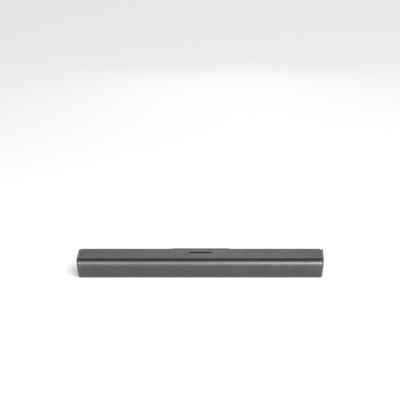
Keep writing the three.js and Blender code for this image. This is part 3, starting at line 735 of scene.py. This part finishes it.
# a width of 0 leaves the edges as they are: a radius there would cut slivers into the large flat faces
keptNodes = {
    "rear_cover": (shellAbs, 0), "bottom_shell": (baseAbs, 0), "jack_panel": (jackAbs, 0.3),
    "front_baffle": (shellAbs, 0.3), "chamber_wall_left": (shellAbs, 0.3),
    "chamber_wall_right": (shellAbs, 0.3), "socket_hdmi_in": (socketPbt, 0.25),
    "socket_hdmi_arc": (socketPbt, 0.25), "socket_usb": (socketPbt, 0.25),
    "socket_optical": (socketPbt, 0.25), "socket_aux": (socketPbt, 0.2), "mains_inlet": (socketPbt, 0.3),
    "button_board": (greenBoard, 0.15), "main_board": (greenBoard, 0.15), "power_board": (greenBoard, 0.15),
    "transformer": (coilTape, 0.5), "amplifier_heat_sink": (finAluminium, 0.2),
    "wireless_module": (zincSteel, 0.25), "display_module": (lensSmoked, 0.3),
    "infrared_receiver": (lensSmoked, 0.3), "button_ribbon": (leadPvc, 0.12),
}
for node, (material, width) in keptNodes.items():
    eased(node, material, width * mm)
driverPlaces = ["left_outer", "left_inner", "right_inner", "right_outer"]
for place in driverPlaces:
    eased("basket_" + place, blackSteel, 0.25 * mm, angle=24)
print("kept shells finished")


# cones, surrounds and magnets

driver = {
    "sides": 64,
    "coneEdge": 18.0 * mm,
    "coneNeck": 9.3 * mm,
    "domeRadius": 8.4 * mm,
    "domeRise": 2.3 * mm,
    "bowl": 0.82,  # 1 would be a straight cone
    "sheet": 0.7 * mm,
    "coil": 8.5 * mm,
    "rollInner": 18.3 * mm,
    "rollOuter": 21.6 * mm,
    "rollSheet": 0.55 * mm,
}


def boxCentre(node):
    low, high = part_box(node)
    return (low + high) / 2, low, high


def makeCone(place):
    # a curved paper cone with three pressed ribs, a dust cap and the voice coil's tube
    middle, low, high = boxCentre("cone_" + place)
    centre = (middle.x, 0, middle.z)
    front, back = low.y, high.y
    coneFront = front + 0.3 * mm
    coneBack = front + 9.8 * mm
    edge, neck, sheet = driver["coneEdge"], driver["coneNeck"], driver["sheet"]
    dome = driver["domeRadius"]
    line = [(0, coneBack - driver["domeRise"] - 1.2 * mm)]
    for k in range(1, 9):
        turn = math.pi / 2 * k / 8
        line.append((dome * math.sin(turn), coneBack - 1.2 * mm - driver["domeRise"] * math.cos(turn)))
    line.append((dome + 0.3 * mm, coneBack - 0.7 * mm))
    for k in range(19):
        share = k / 18
        rib = 0.16 * mm * max(0, math.sin(share * 6 * math.pi)) if 0.1 < share < 0.95 else 0
        line.append((neck + (edge - neck) * share,
                     coneBack - (coneBack - coneFront) * share ** driver["bowl"] - rib))
    line.append((edge, coneFront + sheet))
    for k in range(12, -1, -1):
        share = k / 12
        line.append((neck + (edge - neck) * share * 0.97,
                     coneBack + sheet - (coneBack - coneFront) * share ** driver["bowl"]))
    line += [(neck, coneBack + 2 * mm), (neck - 0.1 * mm, back), (driver["coil"], back),
             (driver["coil"], coneBack + 0.6 * mm), (dome * 0.6, coneBack - 1.2 * mm),
             (0, coneBack - 2.4 * mm)]
    return turnedPiece("cone_" + place + "_paper", line, centre, "Y", driver["sides"])


def makeRoll(place, half):
    # the inner half of the rubber roll is glued to the cone and moves with it; the outer half, from crest to
    # rim, stays where it is
    middle, _, high = boxCentre("surround_" + place)
    inner, outer = driver["rollInner"], driver["rollOuter"]
    ring, radius = (inner + outer) / 2, (outer - inner) / 2
    thin = radius - driver["rollSheet"]
    start, end = {"Inner": (math.pi, math.pi / 2), "Outer": (math.pi / 2, 0)}[half]
    turns = [start + (end - start) * k / 8 for k in range(9)]
    line = [(ring + radius * math.cos(t), high.y - radius * math.sin(t)) for t in turns]
    line += [(ring + thin * math.cos(t), high.y - thin * math.sin(t)) for t in reversed(turns)]
    piece = turnedPiece(f"surround_{place}_roll{half}", line + line[:1], (middle.x, 0, middle.z), "Y",
                        driver["sides"])
    piece.data.materials.append(rollRubber)
    if half == "Inner":
        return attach(piece, "cone_" + place)
    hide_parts("surround_" + place)
    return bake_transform(piece)


def makeMagnet(place):
    middle, low, high = boxCentre("magnet_" + place)
    front, back, radius = low.y, high.y, (high.x - low.x) / 2
    chamfer, gapOut, gapIn, gapDeep = 1 * mm, 10.2 * mm, 7.6 * mm, 10.5 * mm
    groove = 0.25 * mm
    line = [(0, front), (gapIn - 0.3 * mm, front), (gapIn, front + 0.3 * mm), (gapIn, front + gapDeep),
            (gapOut, front + gapDeep), (gapOut, front + 0.3 * mm), (gapOut + 0.3 * mm, front)]
    line += [(radius - chamfer, front), (radius, front + chamfer), (radius, front + 3.4 * mm),
             (radius - groove, front + 3.6 * mm), (radius, front + 3.8 * mm), (radius, back - 3.8 * mm),
             (radius - groove, back - 3.6 * mm), (radius, back - 3.4 * mm), (radius, back - chamfer),
             (radius - chamfer, back), (4 * mm, back), (3.4 * mm, back - 0.8 * mm), (0, back - 0.8 * mm)]
    return turnedPiece("magnet_" + place + "_ferrite", line, (middle.x, 0, middle.z), "Y", driver["sides"])


for place in driverPlaces:
    dressed(makeCone(place), conePulp, "cone_" + place, ["cone_" + place])
    makeRoll(place, "Inner")
    makeRoll(place, "Outer")
    dressed(makeMagnet(place), ferrite, stands=["magnet_" + place])
print("drivers made")


# what the bar stands on, is held by and hangs on

screw = {"headRadius": 3.1 * mm, "shankRadius": 1.2 * mm, "recess": 1.0 * mm, "arm": 1.75 * mm,
         "slit": 0.5 * mm, "thread": 0.55 * mm}
plate = {"edge": 0.25 * mm, "corner": 3 * mm, "entry": 5.2 * mm, "slot": 2.5 * mm, "drop": 6 * mm,
         "keyAbove": 17.7 * mm}  # midway between entry and slot, above the plate's lower edge


def makeFoot(node):
    middle, low, high = boxCentre(node)
    radius = (high.x - low.x) / 2
    line = [(0, 0.35 * mm), (radius * 0.62, 0.35 * mm), (radius * 0.68, 0), (radius - 0.9 * mm, 0),
            (radius - 0.4 * mm, 0.12 * mm), (radius - 0.1 * mm, 0.4 * mm), (radius, 0.8 * mm),
            (radius, high.z), (0, high.z)]
    return turnedPiece(node + "_pad", line, (middle.x, middle.y, 0), "Z", 56)


def makeScrewHead(node):
    # the pan head, with its cross recess
    middle, low, _ = boxCentre(node)
    cross = [(middle.x + p, middle.y + q) for p, q in crossOutline(screw["arm"], screw["slit"])]
    return roundedSlab(node + "_head", arc(middle.x, middle.y, screw["headRadius"], 0, 345, 23), low.z,
                       low.z + screw["recess"], 0.35 * mm, holes=[cross])


def makeScrewShank(node):
    middle, low, high = boxCentre(node)
    headLow, neck = low.z + screw["recess"], low.z + 2 * mm
    head, shank = screw["headRadius"], screw["shankRadius"]
    line = [(0, headLow), (head, headLow), (head, neck), (shank, neck)]
    turns = int((high.z - neck - 1 * mm) / screw["thread"])
    for k in range(turns):
        start = neck + 0.3 * mm + k * screw["thread"]
        line += [(shank - 0.25 * mm, start), (shank, start + screw["thread"] / 2)]
    line += [(0.4 * mm, high.z), (0, high.z)]
    return turnedPiece(node + "_shank", line, (middle.x, middle.y, 0), "Z", 32)


def makeKeyholePlate(node):
    middle, low, high = boxCentre(node)
    width, height = high.x - low.x, high.z - low.z
    x = middle.x
    keyZ = low.z + plate["keyAbove"]
    entryZ, slotZ = keyZ - plate["drop"], keyZ + plate["drop"]
    lean = math.degrees(math.asin(plate["slot"] / plate["entry"]))
    hole = arc(x, entryZ, plate["entry"], 90 + lean, 450 - lean, 30)
    hole += arc(x, slotZ, plate["slot"], 0, 180, 12)
    outline = roundedBox(x, (low.z + high.z) / 2, width, height, plate["corner"])
    return roundedSlab(node + "_steel", outline, low.y, high.y, plate["edge"], "Y", [hole], 2)


for row in ("front", "rear"):
    for side in ("left", "right"):
        foot, screwNode = f"foot_{row}_{side}", f"base_screw_{row}_{side}"
        dressed(makeFoot(foot), footRubber, stands=[foot])
        dressed(makeScrewHead(screwNode), blackSteel, stands=[screwNode])
        dressed(makeScrewShank(screwNode), blackSteel)
for side in ("left", "right"):
    node = "keyhole_plate_" + side
    dressed(makeKeyholePlate(node), zincSteel, stands=[node])
print("feet, screws and plates made")


# linings, tongues and contacts of the sockets

socketLining = {
    "hdmi_in": {"mouth": (15, 5.6), "tongue": (11.6, 1.4), "contacts": 10},
    "hdmi_arc": {"mouth": (15, 5.6), "tongue": (11.6, 1.4), "contacts": 10},
    "usb": {"mouth": (12.6, 5.2), "tongue": (10.8, 1.8), "contacts": 4},
}
socketSheet = 0.3 * mm
inletPin = {"spread": 4.3 * mm, "radius": 1.24 * mm, "length": 12 * mm}
auxRing = {"inner": 1.85 * mm, "outer": 3.35 * mm}


def makeSocketShell(name, mouth):
    # the folded steel shell that lines the socket's mouth
    middle, _, high = boxCentre("socket_" + name)
    w, h = (m * mm for m in mouth)
    outer = roundedBox(middle.x, middle.z, w - 0.04 * mm, h - 0.04 * mm, 0.7 * mm, 3)
    inner = roundedBox(middle.x, middle.z, w - 2 * socketSheet, h - 2 * socketSheet, 0.5 * mm, 3)
    return roundedSlab("socketShell_" + name, outer, high.y - 10.5 * mm, high.y + 0.25 * mm, 0.06 * mm, "Y",
                       [inner], 1)


def makeTongue(name, tongue):
    middle, _, high = boxCentre("socket_" + name)
    w, h = (m * mm for m in tongue)
    return roundedSlab("socketTongue_" + name, roundedBox(middle.x, middle.z, w, h, 0.25 * mm, 2),
                       high.y - 12.2 * mm, high.y - 2 * mm, 0.15 * mm, "Y", steps=1)


def makeContact(name, number, count, tongue):
    middle, _, high = boxCentre("socket_" + name)
    pitch = tongue[0] * mm / (count + 1)
    x = middle.x + (number - (count - 1) / 2) * pitch
    z = middle.z - tongue[1] * mm / 2
    outline = roundedBox(x, z, pitch * 0.5, 0.16 * mm, 0.04 * mm, 1)
    return roundedSlab(f"socketContact_{name}_{number}", outline, high.y - 11.5 * mm, high.y - 3 * mm,
                       0.03 * mm, "Y", steps=1)


def makeInletPin(side):
    middle, _, high = boxCentre("mains_inlet")
    tip, root, radius = high.y - 1.7 * mm, high.y - 1.7 * mm - inletPin["length"], inletPin["radius"]
    line = [(0, root), (radius, root)]
    line += [(radius * math.cos(math.pi / 2 * k / 6), tip - radius * (1 - math.sin(math.pi / 2 * k / 6)))
             for k in range(7)]
    line[-1] = (0, tip)
    return turnedPiece("inletPin_" + ("left" if side < 0 else "right"), line,
                       (middle.x + side * inletPin["spread"], 0, middle.z), "Y", 28)


def makeAuxRing():
    middle, _, high = boxCentre("socket_aux")
    inner, outer = auxRing["inner"], auxRing["outer"]
    back = high.y + 0.35 * mm
    line = [(inner, back - 3 * mm), (outer, back - 0.34 * mm), (outer, back - 0.1 * mm),
            (outer - 0.1 * mm, back), (inner + 0.15 * mm, back), (inner, back - 0.15 * mm)]
    return turnedPiece("auxRing", line + line[:1], (middle.x, 0, middle.z), "Y", 40)


def makeOpticalShutter():
    # the sprung flap that keeps dust out of the optical socket
    middle, _, high = boxCentre("socket_optical")
    return roundedSlab("opticalShutter", roundedBox(middle.x, middle.z, 7.3 * mm, 7.3 * mm, 0.6 * mm, 4),
                       high.y - 2.4 * mm, high.y - 1.4 * mm, 0.2 * mm, "Y", steps=2)


for name, lining in socketLining.items():
    dressed(makeSocketShell(name, lining["mouth"]), zincSteel)
    dressed(makeTongue(name, lining["tongue"]), socketPbt)
    for number in range(lining["contacts"]):
        dressed(makeContact(name, number, lining["contacts"], lining["tongue"]), contactGold)
for side in (-1, 1):
    dressed(makeInletPin(side), zincSteel)
dressed(makeAuxRing(), zincSteel)
dressed(makeOpticalShutter(), jackAbs)
print("connector bay made")


# inside the cabinet: the mains capacitor and the twisted speaker leads

lead = {"wireRadius": 0.75 * mm, "lay": 14 * mm, "ringSides": 10, "step": 2.0 * mm}
# across, back from the front, and up, in mm; mirrored for the other side
leadRoute = [(60, 58, 30), (90, 72, 44), (108, 80, 54), (132, 80, 54), (160, 76, 40), (230, 70, 12),
             (290, 66, 14), (316, 60, 26)]


def makeCapacitor():
    # a sleeved can: rolled groove near its foot and a scored vent disc on top
    middle, low, high = boxCentre("mains_capacitor")
    radius = (high.x - low.x) / 2
    line = [(0, low.z), (radius - 0.8 * mm, low.z), (radius, low.z + 0.8 * mm), (radius, low.z + 2.6 * mm),
            (radius - 0.7 * mm, low.z + 3.3 * mm), (radius, low.z + 4 * mm), (radius, high.z - 1 * mm),
            (radius - 0.3 * mm, high.z - 0.3 * mm), (radius - 1 * mm, high.z),
            (radius - 1.6 * mm, high.z - 0.2 * mm), (radius - 1.7 * mm, high.z - 0.5 * mm),
            (0, high.z - 0.5 * mm)]
    return turnedPiece("mainsCapacitorCan", line, (middle.x, middle.y, 0), "Z", 48)


def routeSpots(points):
    # a Catmull-Rom line through the points, sampled evenly enough for a thin wire
    spots = []
    padded = [points[0] * 2 - points[1], *points, points[-1] * 2 - points[-2]]
    for a, b, c, d in zip(padded, padded[1:], padded[2:], padded[3:]):
        parts = max(2, round((c - b).length / lead["step"]))
        for k in range(parts):
            t = k / parts
            spots.append(0.5 * (2 * b + (c - a) * t + (2 * a - 5 * b + 4 * c - d) * t ** 2
                                + (3 * b - a - 3 * c + d) * t ** 3))
    return spots + [points[-1]]


def makeWire(side, phase):
    points = [Vector((side * x * mm, frontY + y * mm, z * mm)) for x, y, z in leadRoute]
    line = routeSpots(points)
    rings, travelled = [], 0.0
    for k, spot in enumerate(line):
        ahead, behind = line[min(k + 1, len(line) - 1)], line[max(k - 1, 0)]
        way = (ahead - behind).normalized()
        travelled += (spot - line[max(k - 1, 0)]).length
        sideways = way.cross(Vector((0, 1, 0))).normalized()
        upward = sideways.cross(way)
        turn = phase + 2 * math.pi * travelled / lead["lay"]
        middle = spot + (sideways * math.cos(turn) + upward * math.sin(turn)) * lead["wireRadius"]
        ring = []
        for n in range(lead["ringSides"]):
            around = 2 * math.pi * n / lead["ringSides"]
            outward = sideways * math.cos(around) - upward * math.sin(around)
            ring.append(middle + outward * lead["wireRadius"])
        rings.append(ring)
    name = f"speakerLead{'Left' if side < 0 else 'Right'}{'Minus' if phase else 'Plus'}"
    return loftedPiece(name, rings, 60)


dressed(makeCapacitor(), sleevePvc, stands=["mains_capacitor"])
for side, node in ((-1, "speaker_lead_left"), (1, "speaker_lead_right")):
    dressed(makeWire(side, 0), leadPvc, stands=[node])
    dressed(makeWire(side, math.pi), leadPvc)
print("capacitor and leads made")


# floor, light and camera

studio = {
    "floorHalf": 40.0,
    "worldFront": 1.0,
    "worldTop": 0.13,
    "fillPower": 160,
    "leftPower": 23,
    "rightPower": 46,
    "backPower": 2.2,
    "farPower": 120,
}
view = {
    "distance": 6.12,
    "azimuth": 1.75,
    "elevation": 19.7,
    "aimAbove": 1.931,  # the bar sits below the middle of the frame
    "aimSide": 0.009,
    "lens": 169.2,
}


def makeStudio():
    half = studio["floorHalf"]
    floor = newPiece("studioFloor", [(-half, -half, 0), (half, -half, 0), (half, half, 0), (-half, half, 0)],
                     [[0, 1, 2, 3]])
    material, tree, place = newMaterial("floorPalePaper")
    # matt background paper: nearly white, with a faint tooth
    tooth = noise(tree, place, 3 * mm, 2)
    finishMaterial(tree, {"Roughness": 0.95, "IOR": 1.3}, {
        "Base Color": blended(tree, tooth, "#f7f7f7", "#fbfbfb")})
    floor.data.materials.append(material)
    world = bpy.data.worlds.new("studioWorld")
    bpy.context.scene.world = world
    world.use_nodes = True
    tree = world.node_tree
    tree.nodes.clear()
    up = addNode(tree, "ShaderNodeSeparateXYZ",
                 links={"Vector": addNode(tree, "ShaderNodeTexCoord").outputs["Generated"]}).outputs["Z"]
    height = addNode(tree, "ShaderNodeMapRange", {
        "interpolation_type": "SMOOTHSTEP", "From Min": 0.5, "From Max": 0.85,
        "To Min": studio["worldFront"], "To Max": studio["worldTop"]}, {"Value": up}).outputs["Result"]
    glow = addNode(tree, "ShaderNodeBackground", {"Color": (1, 1, 1, 1)}, {"Strength": height})
    addNode(tree, "ShaderNodeOutputWorld", links={"Surface": glow.outputs["Background"]})


def addSoftbox(name, place, target, size, power, inReflections=True):
    data = bpy.data.lights.new(name, "AREA")
    data.shape = "RECTANGLE"
    data.size, data.size_y = size
    data.energy = power
    box = bpy.data.objects.new(name, data)
    box.location = place
    box.rotation_euler = (Vector(target) - Vector(place)).to_track_quat("-Z", "Y").to_euler()
    box.visible_camera = False
    box.visible_glossy = inReflections
    bpy.context.scene.collection.objects.link(box)


def makeCamera():
    camera = bpy.data.objects.new("camera", bpy.data.cameras.new("camera"))
    camera.data.lens = view["lens"]
    camera.data.sensor_width = 36
    azimuth, elevation = math.radians(view["azimuth"]), math.radians(view["elevation"])
    centre = (cadLow + cadHigh) / 2
    away = Vector((math.sin(azimuth) * math.cos(elevation), -math.cos(azimuth) * math.cos(elevation),
                   math.sin(elevation)))
    camera.location = centre + away * view["distance"]
    pitch = elevation - math.radians(view["aimAbove"])
    # a touch of roll keeps the long edges level although the camera stands a little to the right
    roll = -math.asin(math.sin(azimuth) * math.sin(elevation))
    turn = Matrix.Rotation(azimuth - math.radians(view["aimSide"]), 4, "Z")
    turn = turn @ Matrix.Rotation(math.pi / 2 - pitch, 4, "X")
    camera.rotation_euler = (turn @ Matrix.Rotation(roll, 4, "Z")).to_euler()
    camera.data.clip_end = 200
    bpy.context.scene.collection.objects.link(camera)
    bpy.context.scene.camera = camera


makeStudio()
# two low softboxes in front make the bright band on the shoulder, one behind lights the middle of the top,
# and the fill and the far one only lift the floor
addSoftbox("softboxLeft", (-0.95, -2.0, 0.36), (-0.3, 0, 0.04), (1.3, 0.7), studio["leftPower"])
addSoftbox("softboxRight", (0.75, -2.1, 0.36), (0.25, 0, 0.04), (1.4, 0.75), studio["rightPower"])
addSoftbox("softboxFill", (1.2, -2.2, 3.2), (0, -0.2, 0), (5, 4), studio["fillPower"], inReflections=False)
addSoftbox("softboxBack", (0.05, 2.6, 1.0), (0, 0, 0.06), (0.9, 1.0), studio["backPower"])
addSoftbox("softboxFar", (0, 7, 5), (0, 7, 0), (10, 6), studio["farPower"], inReflections=False)
makeCamera()
bpy.context.scene.view_settings.view_transform = "Standard"
print("studio made")


# the box of the CAD frame, in millimetres

print("cad", [round(x * 1000, 1) for x in (*cadLow, *cadHigh)])
